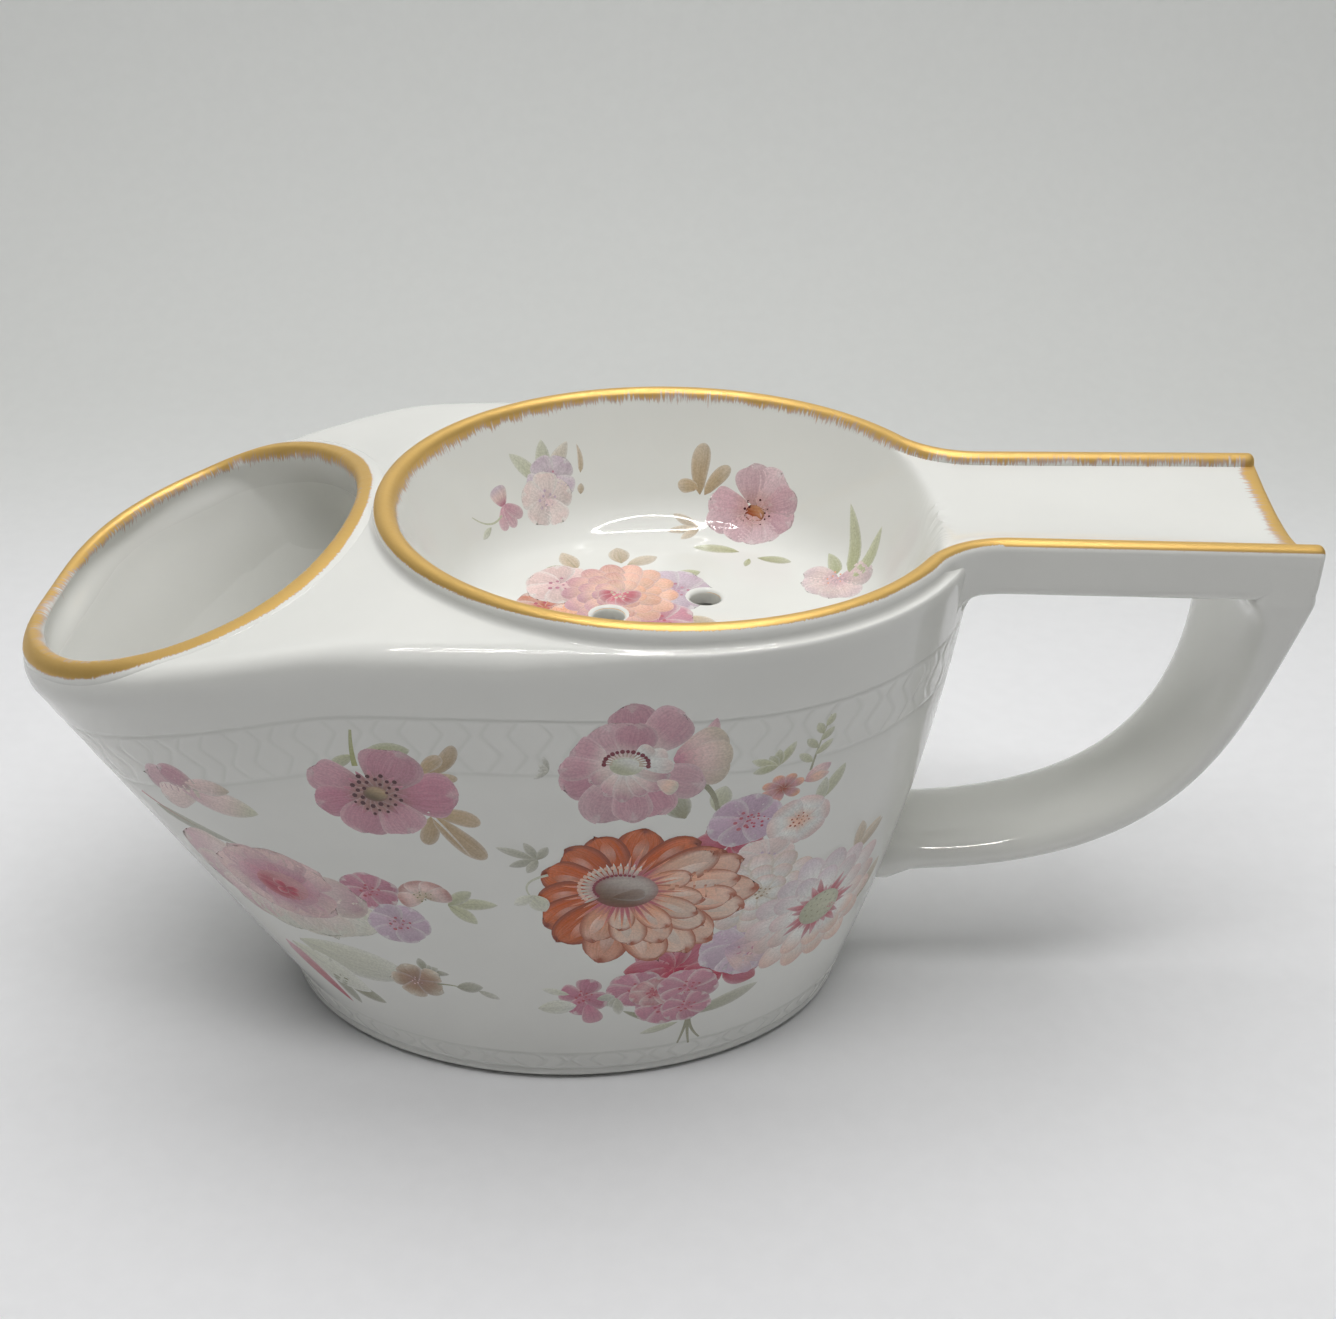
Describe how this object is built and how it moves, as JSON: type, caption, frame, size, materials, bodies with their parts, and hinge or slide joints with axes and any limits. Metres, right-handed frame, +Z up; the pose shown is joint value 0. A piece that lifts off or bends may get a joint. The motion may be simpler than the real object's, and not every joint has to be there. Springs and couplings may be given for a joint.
{
  "type": "shaving scuttle",
  "caption": "Spouted porcelain shaving mug with a pierced soap bowl in its top, a sloping brush mouth and a trough handle with a finger loop.",
  "frame": {"origin": "under the middle of the length, on the surface that the foot stands on", "axes": "+Z up; +X from the spout towards the handle; Y across, with the object alike on both sides"},
  "size_m": [0.1844, 0.0894, 0.0845],
  "materials": {
    "porcelain": "gloss"
  },
  "bodies": {
    "root": {"foot_base": "porcelain", "body_wall": "porcelain", "shoulder_deck": "porcelain", "soap_bowl": "porcelain", "brush_trough": "porcelain", "finger_loop": "porcelain"}
  },
  "joints": []
}
